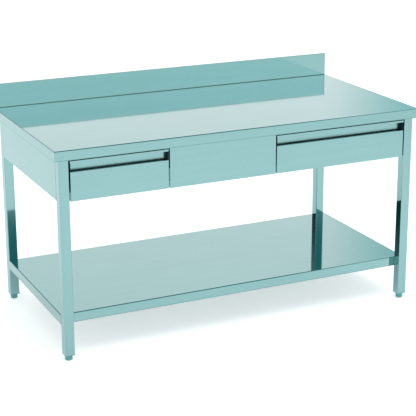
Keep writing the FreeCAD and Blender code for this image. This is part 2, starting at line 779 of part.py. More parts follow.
def front_rivet_places(x, width):
    """Rivets that hold a drawer front to its box, seated inside the box."""
    places = []
    for share in RIVET_SHARES:
        places.append(("%s + %s * %s" % (x, width, share), "box_y + box_wall",
                       "slot_z + grip_slot / 2"))
    return places


def build_drawer_boxes():
    for drawer, x, width in drawers():
        name = drawer + "_drawer_box"
        wide = "%s - 2 * box_inset" % width
        start = "%s + box_inset" % x
        outer = box(name + "_outer", (wide, "box_depth", "box_height"), (start, "box_y", "box_z"))
        inner = box(name + "_inner",
                    (wide + " - 2 * box_wall", "box_depth - 2 * box_wall",
                     "box_height - 2 * box_wall"),
                    (start + " + box_wall", "box_y + box_wall", "box_z + box_wall"))
        mouth = box(name + "_mouth",
                    (wide + " - 2 * box_rim", "box_depth - 2 * box_rim", "box_height"),
                    (start + " + box_rim", "box_y + box_rim", "box_z + box_wall"))
        tools = [inner, mouth]
        for number, seat in enumerate(front_rivet_places(x, width)):
            tools.append(hole("%s_front_%d" % (name, number), seat, "-y",
                              "screw_hole", "3 * box_wall"))
        for row_number, row in enumerate(runner_rows()):
            for side, wall_x in (("a", start), ("b", start + " + " + wide)):
                tools.append(hole("%s_side_%s_%d" % (name, side, row_number),
                                  (wall_x, row, "runner_z"), "+x", "screw_hole",
                                  "3 * box_wall"))
        keep(cut(name + "_cut", outer, tools), name)


def build_buffers():
    """Rubber buffers on the hangers' tails, which the closed drawer's box meets."""
    buffers = []
    for name, sign, edge in drawer_sides():
        across = "%s + %d * (box_inset + buffer_dia / 2 + box_wall)" % (edge, sign)
        disc = cylinder(name + "_buffer", "buffer_dia / 2", "buffer_thick",
                        (across, "tail_y - buffer_thick", "box_z + box_height - buffer_dia"), "+y")
        buffers.append(disc)
    keep(group("buffers", buffers), "drawer_buffers")


def build_shelf():
    slab = box("shelf_slab", ("2 * leg_x", "bay_depth", "shelf_edge"),
               ("-leg_x", "bay_front_y", "shelf_z"))

    def bends(point):
        return on_plane(point.z, "shelf_height")

    rounded = round_edges("shelf_bends", slab, value("shelf_round"), bends)
    wall = "shelf_skin"
    hollow = box("shelf_hollow",
                 ("2 * leg_x - 2 * " + wall, "bay_depth - 2 * " + wall, "shelf_edge - 2 * " + wall),
                 ("-leg_x + " + wall, "bay_front_y + " + wall, "shelf_z + " + wall))
    mouth = box("shelf_mouth",
                ("2 * leg_x - 2 * shelf_return", "bay_depth - 2 * shelf_return", "2 * " + wall),
                ("-leg_x + shelf_return", "bay_front_y + shelf_return", "shelf_z - %s / 2" % wall))
    tools = [hollow, mouth]
    for number, (seat, direction) in enumerate(shelf_bolt_seats()):
        tools.append(hole("shelf_drill_%d" % number, seat, direction, "bolt_hole",
                          "2 * (bracket_wall + shelf_skin)"))
    keep(cut("shelf_cut", rounded, tools), "undershelf")


def build_shelf_ribs():
    """Two hat channels under the shelf, from front to back."""
    wall = "shelf_skin"
    width = "channel_web + 2 * channel_lip"
    outline = [
        ("channel_lip", "0"), ("channel_lip + channel_web", "0"),
        ("channel_lip + channel_web", "rib_depth - " + wall), (width, "rib_depth - " + wall),
        (width, "rib_depth"), ("channel_lip + channel_web - " + wall, "rib_depth"),
        ("channel_lip + channel_web - " + wall, wall), ("channel_lip + " + wall, wall),
        ("channel_lip + " + wall, "rib_depth"), ("0", "rib_depth"),
        ("0", "rib_depth - " + wall), ("channel_lip", "rib_depth - " + wall),
    ]
    for side, sign in SIDES:
        body = profile_body("rib_" + side, "XZ_Plane", [outline], "bay_depth - 4 * shelf_skin",
                            ("%d * rib_place - (%s) / 2" % (sign, width),
                             "bay_front_y + 2 * shelf_skin",
                             "shelf_height - shelf_skin - rib_depth"))
        keep(body, "shelf_channel_" + side)


def build_shelf_brackets():
    """An angle in each corner under the shelf, which the bolts pull against the leg."""
    brackets = []
    for number, (seat, direction) in enumerate(shelf_bolt_seats()):
        toward = 1 if direction == "-y" else -1
        x = "%s - bracket_width / 2" % seat[0]
        face_y = "bay_front_y + shelf_skin" if toward > 0 else "bay_rear_y - shelf_skin"
        top_z = "shelf_height - shelf_skin"
        upright_y = face_y if toward > 0 else face_y + " - bracket_wall"
        flat_y = face_y if toward > 0 else face_y + " - bracket_side"
        upright = box("bracket_%d_upright" % number,
                      ("bracket_width", "bracket_wall", "bracket_side"),
                      (x, upright_y, top_z + " - bracket_side"))
        flat = box("bracket_%d_flat" % number, ("bracket_width", "bracket_side", "bracket_wall"),
                   (x, flat_y, top_z + " - bracket_wall"))
        drill = hole("bracket_%d_drill" % number, seat, direction, "bolt_hole",
                     "2 * bracket_wall")
        whole = fuse("bracket_%d_whole" % number, [upright, flat])
        brackets.append(cut("bracket_%d" % number, whole, [drill]))
    keep(group("brackets", brackets), "shelf_brackets")


def build_fasteners():
    bolts = [hex_bolt("apron_bolt_%d" % number, seat, direction)
             for number, (seat, direction) in enumerate(apron_bolt_seats())]
    keep(group("apron_bolt_group", bolts), "apron_bolts")
    bolts = [hex_bolt("shelf_bolt_%d" % number, seat, direction)
             for number, (seat, direction) in enumerate(shelf_bolt_seats())]
    keep(group("shelf_bolt_group", bolts), "shelf_bolts")
    screws = [flat_screw("worktop_screw_%d" % number, seat, "+z", "screw_length")
              for number, seat in enumerate(worktop_screw_seats())]
    for name, sign, edge in drawer_sides():
        for number, seat in enumerate(hanger_screw_places(edge, sign)):
            screws.append(flat_screw("%s_screw_%d" % (name, number), seat, "+z",
                                     "screw_length"))
    keep(group("worktop_screw_group", screws), "worktop_screws")
    screws = []
    for name, sign, edge in drawer_sides():
        for number, row in enumerate(runner_rows()):
            seat = ("%s - %d * (side_play - runner_wall)" % (edge, sign), row, "runner_z")
            screws.append(flat_screw("%s_runner_%d" % (name, number), seat,
                                     "-x" if sign > 0 else "+x", "runner_screw"))
    keep(group("runner_screw_group", screws), "runner_screws")


def build_drawer_rivets():
    for drawer, x, width in drawers():
        rivets = []
        for number, seat in enumerate(front_rivet_places(x, width)):
            rivets.append(flat_screw("%s_front_rivet_%d" % (drawer, number), seat, "-y",
                                     "box_wall + front_wall + rivet_tail"))
        walls = (
            ("a", "%s + box_inset + box_wall" % x, "-x"),
            ("b", "%s + %s - box_inset - box_wall" % (x, width), "+x"),
        )
        for side, wall_x, direction in walls:
            for number, row in enumerate(runner_rows()):
                rivets.append(flat_screw("%s_side_rivet_%s_%d" % (drawer, side, number),
                                         (wall_x, row, "runner_z"), direction,
                                         "box_wall + runner_wall + rivet_tail"))
        keep(group(drawer + "_rivet_group", rivets), drawer + "_drawer_rivets")


def check_model():
    """Raise on anything that failed to build."""
    for item in doc.Objects:
        if "Invalid" in item.State or "Error" in item.State:
            raise RuntimeError("%s failed: %s" % (item.Name, item.State))
    for item in nodes:
        shape = item.Shape
        if shape.isNull() or not shape.isValid() or not shape.Solids:
            raise RuntimeError("%s has no valid solid" % item.Label)


def export_parts():
    os.makedirs("parts", exist_ok=True)
    for item in nodes:
        item.Shape.exportStep("parts/%s.step" % item.Label)


fill_sheet()
build_worktop()
build_backsplash_ends()
build_core_board()
build_channels()
build_legs()
build_feet()
build_aprons()
build_hangers()
build_runners()
build_drawer_fronts()
build_drawer_boxes()
build_buffers()
build_shelf()
build_shelf_ribs()
build_shelf_brackets()
build_fasteners()
build_drawer_rivets()
doc.recompute()
check_model()
export_parts()
print("%d sub-parts" % len(nodes))
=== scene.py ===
"""Looks of the stainless work table: finishes, grip caps, runner balls, stud threads, spot welds
and stage.

Everything is in metres in the frame of the packed model: X along the table, drawers towards -Y,
Z up from the floor.
"""
import math

import bmesh
import bpy
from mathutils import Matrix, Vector


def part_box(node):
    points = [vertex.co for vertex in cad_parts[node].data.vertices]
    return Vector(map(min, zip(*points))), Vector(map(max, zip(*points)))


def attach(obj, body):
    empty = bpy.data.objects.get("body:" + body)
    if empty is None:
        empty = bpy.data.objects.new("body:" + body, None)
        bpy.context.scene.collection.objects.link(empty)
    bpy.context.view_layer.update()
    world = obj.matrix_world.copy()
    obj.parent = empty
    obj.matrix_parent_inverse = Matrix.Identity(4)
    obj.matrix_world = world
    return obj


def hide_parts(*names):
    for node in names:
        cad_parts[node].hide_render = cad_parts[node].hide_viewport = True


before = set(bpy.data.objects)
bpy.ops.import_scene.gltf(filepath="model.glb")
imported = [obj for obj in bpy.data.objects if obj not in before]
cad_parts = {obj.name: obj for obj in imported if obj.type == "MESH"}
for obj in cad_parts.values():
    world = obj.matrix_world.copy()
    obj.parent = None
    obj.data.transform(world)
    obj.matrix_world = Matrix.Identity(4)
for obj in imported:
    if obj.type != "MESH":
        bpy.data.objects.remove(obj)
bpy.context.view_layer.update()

bl_info = {
    "name": "Stainless Work Table",
    "version": (1, 0, 0),
    "blender": (4, 5, 0),
    "location": "3D View > Sidebar > Work Table",
    "description": "Finishes and small parts of a stainless work table with two drawers",
    "category": "Object",
}

CORNERS = ("front_left", "front_right", "rear_left", "rear_right")
DRAWERS = ("left", "right")
SIDES = ("inner", "outer")


# ---------------------------------------------------------------- shader nodes

class Value:
    """A number in a shader that is added, subtracted and multiplied like a Python number."""

    def __init__(self, finish, socket):
        self.finish = finish
        self.socket = socket

    def __add__(self, other):
        return self.finish.math("ADD", self, other)

    def __radd__(self, other):
        return self.finish.math("ADD", other, self)

    def __sub__(self, other):
        return self.finish.math("SUBTRACT", self, other)

    def __rsub__(self, other):
        return self.finish.math("SUBTRACT", other, self)

    def __mul__(self, other):
        return self.finish.math("MULTIPLY", self, other)

    def __rmul__(self, other):
        return self.finish.math("MULTIPLY", other, self)


class Finish:
    """The node tree of one material or of the world, and the ways of adding nodes to it."""

    def __init__(self, owner):
        owner.use_nodes = True
        self.owner = owner
        self.tree = owner.node_tree
        self.tree.nodes.clear()

    def node(self, kind, settings, sockets):
        """Adds a node, makes its settings, then fills its sockets with values or links."""
        made = self.tree.nodes.new("ShaderNode" + kind)
        for name, value in settings.items():
            if name == "stops":
                self._stops(made.color_ramp.elements, value)
            else:
                setattr(made, name, value)
        for name, value in sockets.items():
            if isinstance(value, Value):
                value = value.socket
            if isinstance(value, bpy.types.NodeSocket):
                self.tree.links.new(value, made.inputs[name])
            else:
                made.inputs[name].default_value = value
        return made

    def _stops(self, elements, stops):
        while len(elements) > 1:
            elements.remove(elements[-1])
        for number, (place, colour) in enumerate(stops):
            stop = elements[0] if number == 0 else elements.new(place)
            stop.position = place
            stop.color = (*colour, 1.0)

    def math(self, operation, *terms):
        made = self.node("Math", {"operation": operation}, dict(enumerate(terms)))
        return Value(self, made.outputs[0])

    def step(self, value, low, high):
        """0 below low, 1 above high and a smooth slope between them."""
        made = self.node("MapRange", {"interpolation_type": "SMOOTHSTEP"},
                         {"Value": value, "From Min": low, "From Max": high})
        return Value(self, made.outputs["Result"])

    def blend(self, share, first, second):
        """A colour between two colours."""
        made = self.node("Mix", {"data_type": "RGBA"}, {
            0: share,
            6: first if isinstance(first, bpy.types.NodeSocket) else (*first, 1.0),
            7: second if isinstance(second, bpy.types.NodeSocket) else (*second, 1.0)})
        return made.outputs[2]

    def place(self, scale=(1, 1, 1), turn=(0, 0, 0)):
        """Object coordinates, stretched and turned for one pattern."""
        coordinates = self.node("TexCoord", {}, {})
        made = self.node("Mapping", {}, {"Vector": coordinates.outputs["Object"],
                                         "Rotation": turn, "Scale": scale})
        return made.outputs["Vector"]

    def noise(self, place, scale=1.0, detail=2.0, roughness=0.5):
        made = self.node("TexNoise", {}, {"Vector": place, "Scale": scale, "Detail": detail,
                                          "Roughness": roughness})
        return Value(self, made.outputs["Fac"])

    def cells(self, place, scale, feature="F1"):
        made = self.node("TexVoronoi", {"feature": feature}, {"Vector": place, "Scale": scale})
        return made

    def bump(self, height, strength, distance):
        made = self.node("Bump", {}, {"Height": height, "Strength": strength,
                                      "Distance": distance})
        return made.outputs["Normal"]

    def surface(self, sockets):
        """Ends the material in one Principled shader."""
        shader = self.node("BsdfPrincipled", {}, sockets)
        self.node("OutputMaterial", {}, {"Surface": shader.outputs[0]})
        return self.owner


def new_finish(name):
    return Finish(bpy.data.materials.new(name))


def shade(colour, factor):
    """A colour made lighter or darker."""
    return tuple(min(1.0, part * factor) for part in colour)


ACROSS = {
    "x": lambda along, across: (along, across, across),
    "y": lambda along, across: (across, along, across),
    "z": lambda along, across: (across, across, along),
}


# Painted dark lines: a painted reflection along the folds and painted shade along the hems. Share
# of a line's width where it is full, where the fold line starts to fade towards the right end and
# how much of it fades there, and a hem's share.
FOLD_FULL = 0.6
HEM_FULL = 0.3
FOLD_FADE_FROM = 0.05
FOLD_FADE_AT = 0.8
FOLD_FADE_SHARE = 0.6
HEM_SHARE = 0.45


def painted_fold_reflection_and_hem_shade(finish, node):
    """Share of painted darkening along the top folds and the lower hems of a node, by its place:
    a painted reflection on the folds and painted shade on the hems.
    """
    steel = bpy.context.scene.worktable_steel
    low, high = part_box(node)
    level = high.z if node == "undershelf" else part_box("backsplash_end_left")[0].z + steel.skin
    spot = finish.node("SeparateXYZ", {}, {"Vector": finish.place()})
    x, y, z = (Value(finish, spot.outputs[axis]) for axis in "XYZ")
    reach = steel.painted_line_width
    full = reach * FOLD_FULL
    near_top = finish.step(z, level - reach, level - full)
    front = finish.step(y, low.y + reach, low.y + full)
    side = finish.math("MAXIMUM", finish.step(x, low.x + reach, low.x + full),
                       finish.step(x, high.x - reach, high.x - full))
    # Painted reflection: the dark fold line fades along the sheet towards its right end.
    fold_fade = 1.0 - finish.step(x, FOLD_FADE_FROM, high.x * FOLD_FADE_AT) * FOLD_FADE_SHARE
    painted_fold_line = near_top * finish.math("MAXIMUM", front, side) * fold_fade
    # Painted shade along the lower hem.
    hem = finish.step(z, low.z + reach, low.z + reach * HEM_FULL)
    return finish.math("MAXIMUM", painted_fold_line, hem * HEM_SHARE)


def satin_stainless(axis, kind="satin"):
    """Sheet with fine grain along one axis, faint wiping marks and a few hairline scratches."""
    steel = bpy.context.scene.worktable_steel
    gloss = steel.grip_roughness if kind == "brushed" else steel.satin_roughness
    name = kind + "_stainless_" + axis
    if name in bpy.data.materials:
        return bpy.data.materials[name]
    finish = new_finish(name)
    stretch = ACROSS[axis]
    grain = finish.noise(finish.place(stretch(4.0, 1.0 / steel.grain_width)), 1.0, 3.0, 0.6)
    bands = finish.noise(finish.place(stretch(1.2, 45.0)), 1.0, 2.0, 0.5)
    wiped = finish.noise(finish.place((1, 1, 1), (0.3, 0.2, 0.9)), 5.0, 3.0, 0.55)
    mottle = finish.noise(finish.place(stretch(60.0, 170.0)), 1.0, 2.0, 0.6)
    hairline = finish.noise(finish.place(stretch(6.0, 420.0), (0.02, 0.03, 0.05)), 1.0, 0.0, 0.5)
    scratch = finish.step(hairline, 0.74, 0.8)
    tone = ((grain - 0.5) * 0.6 + (bands - 0.5) * 0.5 + (mottle - 0.5) * 0.6 + 0.5
            + (wiped - 0.5) * 0.5)
    colour = finish.blend(tone, shade(steel.satin_colour, 0.93), shade(steel.satin_colour, 1.07))
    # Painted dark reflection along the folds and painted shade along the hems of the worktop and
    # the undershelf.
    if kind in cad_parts:
        colour = finish.blend(painted_fold_reflection_and_hem_shade(finish, kind), colour, steel.painted_line_colour)
    rough = gloss + (grain - 0.5) * 0.03 + (wiped - 0.5) * 0.04 + scratch * 0.05
    return finish.surface({
        "Base Color": colour,
        "Metallic": 1.0,
        "Roughness": rough,
        "Normal": finish.bump(grain * 0.7 + bands * 0.15 - scratch * 0.4, 0.5, 0.000012),
    })


def mill_stainless():
    """Dull sheet of the hidden parts, with cloudy rolling marks along the table."""
    steel = bpy.context.scene.worktable_steel
    if "mill_stainless" in bpy.data.materials:
        return bpy.data.materials["mill_stainless"]
    finish = new_finish("mill_stainless")
    rolled = finish.noise(finish.place((3.0, 70.0, 70.0)), 1.0, 4.0, 0.55)
    cloud = finish.noise(finish.place(), 9.0, 3.0, 0.6)
    speck = finish.noise(finish.place(), 700.0, 1.0, 0.5)
    tone = (rolled - 0.5) * 0.8 + (cloud - 0.5) * 0.8 + (speck - 0.5) * 0.4 + 0.5
    colour = finish.blend(tone, shade(steel.mill_colour, 0.88), shade(steel.mill_colour, 1.1))
    rough = steel.mill_roughness + (cloud - 0.5) * 0.16 + (speck - 0.5) * 0.06
    return finish.surface({
        "Base Color": colour,
        "Metallic": 1.0,
        "Roughness": rough,
        "Normal": finish.bump(rolled + speck * 0.4, 0.5, 0.00003),
    })


def zinc_plate():
    """Zinc plating with faint crystal flowers and a milky bloom in places."""
    steel = bpy.context.scene.worktable_steel
    if "zinc_plate" in bpy.data.materials:
        return bpy.data.materials["zinc_plate"]
    finish = new_finish("zinc_plate")
    flowers = finish.cells(finish.place(), 160.0)
    flower = Value(finish, finish.node("RGBToBW", {}, {
        "Color": flowers.outputs["Color"]}).outputs[0])
    bloom = finish.step(finish.noise(finish.place(), 30.0, 4.0, 0.6), 0.45, 0.75)
    drawn = finish.noise(finish.place((900.0, 8.0, 900.0)), 1.0, 2.0, 0.5)
    tone = (flower - 0.5) * 0.6 + (drawn - 0.5) * 0.4 + 0.5
    colour = finish.blend(tone, shade(steel.zinc_colour, 0.86), shade(steel.zinc_colour, 1.1))
    milky = finish.blend(bloom * 0.5, colour, shade(steel.zinc_colour, 1.05))
    return finish.surface({
        "Base Color": milky,
        "Metallic": 1.0 - bloom * 0.25,
        "Roughness": 0.26 + bloom * 0.2 + (flower - 0.5) * 0.08,
        "Normal": finish.bump(drawn, 0.5, 0.00001),
    })


def turned_steel():
    """Bright steel of bolts, screws and studs, with fine turning rings and an oil film."""
    steel = bpy.context.scene.worktable_steel
    if "turned_steel" in bpy.data.materials:
        return bpy.data.materials["turned_steel"]
    finish = new_finish("turned_steel")
    rings = finish.noise(finish.place((300.0, 300.0, 2500.0)), 1.0, 2.0, 0.6)
    film = finish.noise(finish.place(), 220.0, 3.0, 0.6)
    tone = (rings - 0.5) * 0.5 + (film - 0.5) * 0.8 + 0.5
    colour = finish.blend(tone, shade(steel.zinc_colour, 0.8), shade(steel.zinc_colour, 1.08))
    return finish.surface({
        "Base Color": colour,
        "Metallic": 1.0,
        "Roughness": 0.2 + (film - 0.5) * 0.2 + (rings - 0.5) * 0.08,
        "Normal": finish.bump(rings, 0.4, 0.00001),
    })


def welded_steel():
    """Heat-tinted steel of a spot weld, in darker and lighter scorched patches."""
    steel = bpy.context.scene.worktable_steel
    if "welded_steel" in bpy.data.materials:
        return bpy.data.materials["welded_steel"]
    finish = new_finish("welded_steel")
    scorch = finish.noise(finish.place(), 420.0, 4.0, 0.6)
    ripple = finish.noise(finish.place(), 1500.0, 2.0, 0.5)
    colour = finish.blend(finish.step(scorch, 0.35, 0.7), shade(steel.mill_colour, 0.55),
                          shade(steel.mill_colour, 0.95))
    return finish.surface({
        "Base Color": colour,
        "Metallic": 1.0,
        "Roughness": 0.34 + (scorch - 0.5) * 0.2,
        "Normal": finish.bump(ripple + scorch, 0.5, 0.00004),
    })


def particle_board():
    """Pressed wood chips of several tones, matt and slightly open."""
    board = bpy.context.scene.worktable_board
    if "particle_board" in bpy.data.materials:
        return bpy.data.materials["particle_board"]
    finish = new_finish("particle_board")
    flat = finish.place((1.0, 1.0, 2.2))
    chips = finish.cells(flat, 260.0)
    dust = finish.noise(flat, 900.0, 3.0, 0.6)
    chip = Value(finish, finish.node("RGBToBW", {}, {
        "Color": chips.outputs["Color"]}).outputs[0])
    edge = finish.step(Value(finish, chips.outputs["Distance"]), 0.25, 0.6)
    tone = chip * 0.75 + (dust - 0.5) * 0.5 + 0.15
    colour = finish.node("ValToRGB", {"stops": [
        (0.0, shade(board.chip_colour, 0.55)),
        (0.45, board.chip_colour),
        (0.8, shade(board.chip_colour, 1.25)),
        (1.0, shade(board.chip_colour, 1.5)),
    ]}, {"Fac": tone - edge * 0.2})
    return finish.surface({
        "Base Color": colour.outputs["Color"],
        "Roughness": 0.82 + (dust - 0.5) * 0.15,
        "Normal": finish.bump(chip + dust * 0.6 - edge, 0.6, 0.0002),
    })


def moulded_plastic():
    """Plastic of the leg inserts and glides, with a fine eroded texture and scuffed patches."""
    board = bpy.context.scene.worktable_board
    if "moulded_plastic" in bpy.data.materials:
        return bpy.data.materials["moulded_plastic"]
    finish = new_finish("moulded_plastic")
    erosion = finish.noise(finish.place(), 1400.0, 3.0, 0.6)
    scuffs = finish.step(finish.noise(finish.place((1, 1, 0.3)), 190.0, 4.0, 0.65), 0.5, 0.72)
    flow = finish.noise(finish.place((1, 1, 3)), 45.0, 2.0, 0.5)
    tone = (erosion - 0.5) * 0.4 + (flow - 0.5) * 0.5 + scuffs * 0.35 + 0.4
    colour = finish.blend(tone, shade(board.plastic_colour, 0.75),
                          shade(board.plastic_colour, 1.35))
    return finish.surface({
        "Base Color": colour,
        "Roughness": 0.42 + scuffs * 0.18 + (erosion - 0.5) * 0.1,
        "Specular IOR Level": 0.5,
        "Normal": finish.bump(erosion + scuffs * 0.5, 0.5, 0.00006),
    })


def black_rubber():
    """Rubber of the drawer buffers and of the grip caps, which stand in for the shade at the ends
    of the grips; dusty in its pores.
    """
    board = bpy.context.scene.worktable_board
    if "black_rubber" in bpy.data.materials:
        return bpy.data.materials["black_rubber"]
    finish = new_finish("black_rubber")
    pores = finish.noise(finish.place(), 1600.0, 3.0, 0.6)
    dust = finish.step(finish.noise(finish.place(), 260.0, 3.0, 0.6), 0.45, 0.8)
    colour = finish.blend(dust * 0.6, shade(board.rubber_colour, 0.8),
                          shade(board.rubber_colour, 3.0))
    return finish.surface({
        "Base Color": colour,
        "Roughness": 0.68 + dust * 0.2 + (pores - 0.5) * 0.1,
        "Specular IOR Level": 0.2,
        "Normal": finish.bump(pores, 0.5, 0.00008),
    })


# ---------------------------------------------------------------- pieces

def coat(nodes, finish):
    """Gives CAD nodes a finish, in every material slot they have."""
    for name in nodes:
        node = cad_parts[name]
        if not node.material_slots:
            node.data.materials.append(finish)
        for place in node.material_slots:
            place.material = finish


def nodes_with(*words):
    """Names of the CAD nodes that hold all of these words."""
    return [name for name in sorted(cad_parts) if all(word in name for word in words)]


def keep(name, mesh, body, finish=None):
    """Makes a mesh a finished piece that rides on a body."""
    mesh.name = name
    if finish is not None:
        mesh.materials.clear()
        mesh.materials.append(finish)
    piece = bpy.data.objects.new(name, mesh)
    bpy.context.scene.collection.objects.link(piece)
    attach(piece, body)
    return piece


def mesh_of(maker):
    """A mesh from a bmesh, cleaned of doubles and with its faces turned outwards."""
    bmesh.ops.remove_doubles(maker, verts=maker.verts[:], dist=1e-6)
    bmesh.ops.recalc_face_normals(maker, faces=maker.faces[:])
    mesh = bpy.data.meshes.new("piece")
    maker.to_mesh(mesh)
    maker.free()
    return mesh


def line_mesh(lines):
    """A mesh of loose edges, one from each start to its end."""
    points = [point for line in lines for point in line]
    edges = [(number, number + 1) for number in range(0, len(points), 2)]
    mesh = bpy.data.meshes.new("rows")
    mesh.from_pydata(points, edges, [])
    return mesh


def run_tree(mesh, tree, inputs):
    """Puts a mesh through a Geometry Nodes tree and gives back the plain mesh."""
    holder = bpy.data.objects.new("rows", mesh)
    bpy.context.scene.collection.objects.link(holder)
    modifier = holder.modifiers.new("rows", "NODES")
    modifier.node_group = tree
    for socket in tree.interface.items_tree:
        if socket.item_type == "SOCKET" and socket.in_out == "INPUT" and socket.name in inputs:
            modifier[socket.identifier] = inputs[socket.name]
    depsgraph = bpy.context.evaluated_depsgraph_get()
    made = bpy.data.meshes.new_from_object(holder.evaluated_get(depsgraph))
    holder.modifiers.remove(modifier)
    bpy.data.objects.remove(holder)
    return made


class Tree:
    """A Geometry Nodes tree with one geometry input, named sizes and one geometry output."""

    def __init__(self, name, sizes):
        self.tree = bpy.data.node_groups.new(name, "GeometryNodeTree")
        face = self.tree.interface
        face.new_socket("Geometry", in_out="OUTPUT", socket_type="NodeSocketGeometry")
        face.new_socket("Geometry", in_out="INPUT", socket_type="NodeSocketGeometry")
        for label, kind in sizes.items():
            face.new_socket(label, in_out="INPUT", socket_type="NodeSocket" + kind)
        self.start = self.tree.nodes.new("NodeGroupInput")
        self.end = self.tree.nodes.new("NodeGroupOutput")

    def size(self, label):
        return self.start.outputs[label]

    def node(self, kind, settings, sockets):
        made = self.tree.nodes.new(kind)
        for name, value in settings.items():
            setattr(made, name, value)
        for name, value in sockets.items():
            if isinstance(value, bpy.types.NodeSocket):
                self.tree.links.new(value, made.inputs[name])
            else:
                made.inputs[name].default_value = value
        return made.outputs[0]

    def math(self, operation, *terms):
        return self.node("ShaderNodeMath", {"operation": operation}, dict(enumerate(terms)))

    def finish(self, instances):
        """Realises the instances, smooths them, sets the material and ends the tree."""
        real = self.node("GeometryNodeRealizeInstances", {}, {"Geometry": instances})
        smooth = self.node("GeometryNodeSetShadeSmooth", {}, {"Geometry": real})
        coated = self.node("GeometryNodeSetMaterial", {}, {
            "Geometry": smooth, "Material": self.size("Material")})
        self.tree.links.new(coated, self.end.inputs[0])
        return self.tree


def along_lines(tree, instance):
    """Ends a tree with copies of an instance at an even pitch along each line it is given."""
    lines = tree.node("GeometryNodeMeshToCurve", {}, {"Mesh": tree.size("Geometry")})
    rows = tree.node("GeometryNodeResampleCurve", {"mode": "LENGTH"}, {
        "Curve": lines, "Length": tree.size("Pitch")})
    points = tree.node("GeometryNodeCurveToPoints", {"mode": "EVALUATED"}, {"Curve": rows})
    return tree.finish(tree.node("GeometryNodeInstanceOnPoints", {}, {
        "Points": points, "Instance": instance}))


def ball_row_tree():
    """Balls at an even pitch along each line."""
    tree = Tree("ball_rows", {"Pitch": "Float", "Ball Diameter": "Float",
                              "Material": "Material"})
    return along_lines(tree, tree.node("GeometryNodeMeshUVSphere", {}, {
        "Segments": 10, "Rings": 6,
        "Radius": tree.math("MULTIPLY", tree.size("Ball Diameter"), 0.5)}))


def spot_row_tree():
    """Round weld marks at an even pitch along each line, a little proud of the sheet."""
    tree = Tree("spot_welds", {"Pitch": "Float", "Spot Diameter": "Float",
                               "Spot Height": "Float", "Material": "Material"})
    spot = tree.node("GeometryNodeMeshCone", {}, {
        "Vertices": 16, "Side Segments": 1, "Fill Segments": 1,
        "Radius Top": tree.math("MULTIPLY", tree.size("Spot Diameter"), 0.36),
        "Radius Bottom": tree.math("MULTIPLY", tree.size("Spot Diameter"), 0.5),
        "Depth": tree.size("Spot Height")})
    return along_lines(tree, tree.node("GeometryNodeTransform", {}, {
        "Geometry": spot, "Rotation": (math.pi, 0, 0)}))


def thread_tree():
    """A thread ridge that winds up along a stud of the given root diameter."""
    tree = Tree("stud_thread", {"Root Diameter": "Float", "Ridge Depth": "Float",
                                "Pitch": "Float", "Length": "Float", "Material": "Material"})
    radius = tree.math("MULTIPLY", tree.size("Root Diameter"), 0.5)
    turns = tree.math("DIVIDE", tree.size("Length"), tree.size("Pitch"))
    spiral = tree.node("GeometryNodeCurveSpiral", {}, {
        "Resolution": 20, "Rotations": turns, "Start Radius": radius, "End Radius": radius,
        "Height": tree.size("Length")})
    section = tree.node("GeometryNodeCurvePrimitiveCircle", {"mode": "RADIUS"}, {
        "Resolution": 4, "Radius": tree.size("Ridge Depth")})
    return tree.finish(tree.node("GeometryNodeCurveToMesh", {}, {
        "Curve": spiral, "Profile Curve": section, "Fill Caps": True}))


def turned_mesh(profile, centre, steps=32):
    """A closed solid of revolution about an upright axis, from (radius, height) points."""
    maker = bmesh.new()
    rings = []
    for radius, height in profile:
        ring = []
        for number in range(steps):
            angle = 2 * math.pi * number / steps
            ring.append(maker.verts.new((centre[0] + radius * math.cos(angle),
                                         centre[1] + radius * math.sin(angle), height)))
        rings.append(ring)
    for low, high in zip(rings, rings[1:]):
        for number in range(steps):
            after = (number + 1) % steps
            maker.faces.new((low[number], low[after], high[after], high[number]))
    maker.faces.new(rings[0])
    maker.faces.new(rings[-1])
    return mesh_of(maker)


def runner_side(drawer, side):
    """The hanger face of a runner and the direction from it to the drawer box."""
    low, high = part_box("%s_drawer_runner_fixed_%s" % (drawer, side))
    box_low, box_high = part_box(drawer + "_drawer_box")
    if (low.x + high.x) / 2 < (box_low.x + box_high.x) / 2:
        return low.x, 1.0
    return high.x, -1.0


def cage_profile(back, reach, half, wall):
    """Cross-section of a ball cage: a web and two flanges, as (depth, height) points."""
    return [(back, -half - wall / 2), (reach, -half - wall / 2), (reach, -half + wall / 2),
            (back + wall, -half + wall / 2), (back + wall, half - wall / 2),
            (reach, half - wall / 2), (reach, half + wall / 2), (back, half + wall / 2)]


def prism(outline, start, end, placed):
    """A closed prism from start to end; placed gives the point of a place and a corner."""
    maker = bmesh.new()
    near = [maker.verts.new(placed(start, corner)) for corner in outline]
    far = [maker.verts.new(placed(end, corner)) for corner in outline]
    maker.faces.new(near)
    maker.faces.new(far)
    for number in range(len(outline)):
        after = (number + 1) % len(outline)
        maker.faces.new((near[number], near[after], far[after], far[number]))
    return mesh_of(maker)


def joined(meshes):
    """One mesh out of several that share a material."""
    maker = bmesh.new()
    for mesh in meshes:
        maker.from_mesh(mesh)
    whole = bpy.data.meshes.new("piece")
    maker.to_mesh(whole)
    maker.free()
    return whole


